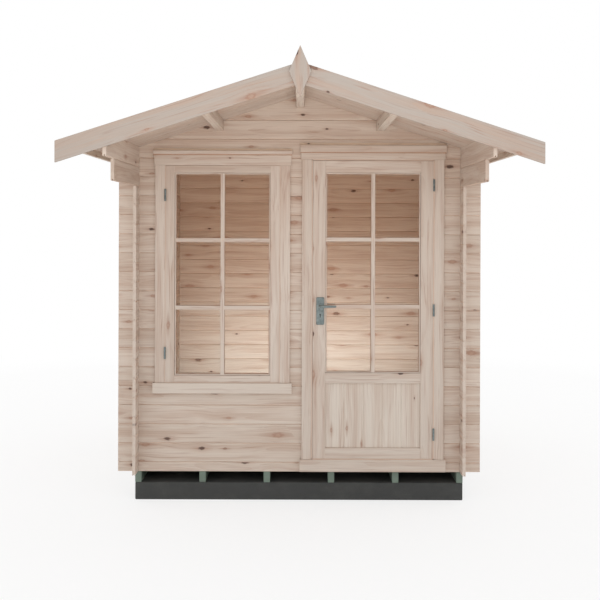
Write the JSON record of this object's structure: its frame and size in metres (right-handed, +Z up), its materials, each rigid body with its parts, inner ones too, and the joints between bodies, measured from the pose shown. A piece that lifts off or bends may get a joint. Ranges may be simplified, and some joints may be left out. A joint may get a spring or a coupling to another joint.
{
  "type": "log cabin",
  "caption": "Small garden cabin of thin interlocking pine logs with a low gable roof reaching forward as a porch, a tall barred window and a half-glazed hinged door.",
  "frame": {"origin": "middle of the base slab's underside, at ground level", "axes": "+Z up, -Y out of the front wall with the door and window, +X to the right seen from the front"},
  "size_m": [2.433, 3.197, 2.542],
  "materials": {
    "pine_logs": "planed, untreated",
    "pine_joinery": "planed, untreated",
    "pine_roof": "planed, untreated",
    "pine_floor": "planed, untreated",
    "treated_bearers": "pressure treated",
    "grey_base": "matt",
    "roof_felt": "mineral surface",
    "window_glass": "clear",
    "hinge_steel": "zinc plated",
    "handle_steel": "satin"
  },
  "bodies": {
    "cabin": {"left_wall_logs": "pine_logs", "right_wall_logs": "pine_logs", "back_wall_logs": "pine_logs", "front_half_log": "pine_logs", "front_logs_below_window": "pine_logs", "front_logs_left": "pine_logs", "front_logs_between": "pine_logs", "front_logs_right": "pine_logs", "front_gable_logs": "pine_logs", "back_gable_logs": "pine_logs", "window_jambs": "pine_joinery", "window_head": "pine_joinery", "window_cap": "pine_joinery", "window_sill": "pine_joinery", "window_stops": "pine_joinery", "window_stiles": "pine_joinery", "window_rails": "pine_joinery", "door_jambs": "pine_joinery", "door_head": "pine_joinery", "door_cap": "pine_joinery", "door_threshold": "pine_joinery", "door_stops": "pine_joinery", "ridge_purlin": "pine_roof", "side_purlins": "pine_roof", "roof_boards_left": "pine_roof", "roof_boards_right": "pine_roof", "eaves_boards": "pine_roof", "front_barge_boards": "pine_roof", "back_barge_boards": "pine_roof", "front_finial": "pine_roof", "back_finial": "pine_roof", "floor_deck": "pine_floor", "floor_bearers": "treated_bearers", "base_slab": "grey_base", "roof_felt": "roof_felt", "window_glass": "window_glass", "window_hinges": "hinge_steel", "door_hinge_pins": "hinge_steel"},
    "door": {"door_stiles": "pine_joinery", "door_rails": "pine_joinery", "door_panel": "pine_joinery", "door_glass": "window_glass", "door_hinge_knuckles": "hinge_steel", "door_handle_plates": "handle_steel"},
    "lever": {"door_lever": "handle_steel"}
  },
  "joints": [
    {"name": "door_swing", "type": "hinge", "parent": "cabin", "child": "door", "pos_m": [0.80225, -1.009, 1.1], "axis": [0, 0, 1], "range_deg": [0, 100]},
    {"name": "lever_turn", "type": "hinge", "parent": "door", "child": "lever", "pos_m": [0.124, -0.9835, 1.1665], "axis": [0, 1, 0], "range_deg": [0, 45], "stiffness_Nm_per_rad": 1.2, "springref_deg": -20.05}
  ]
}
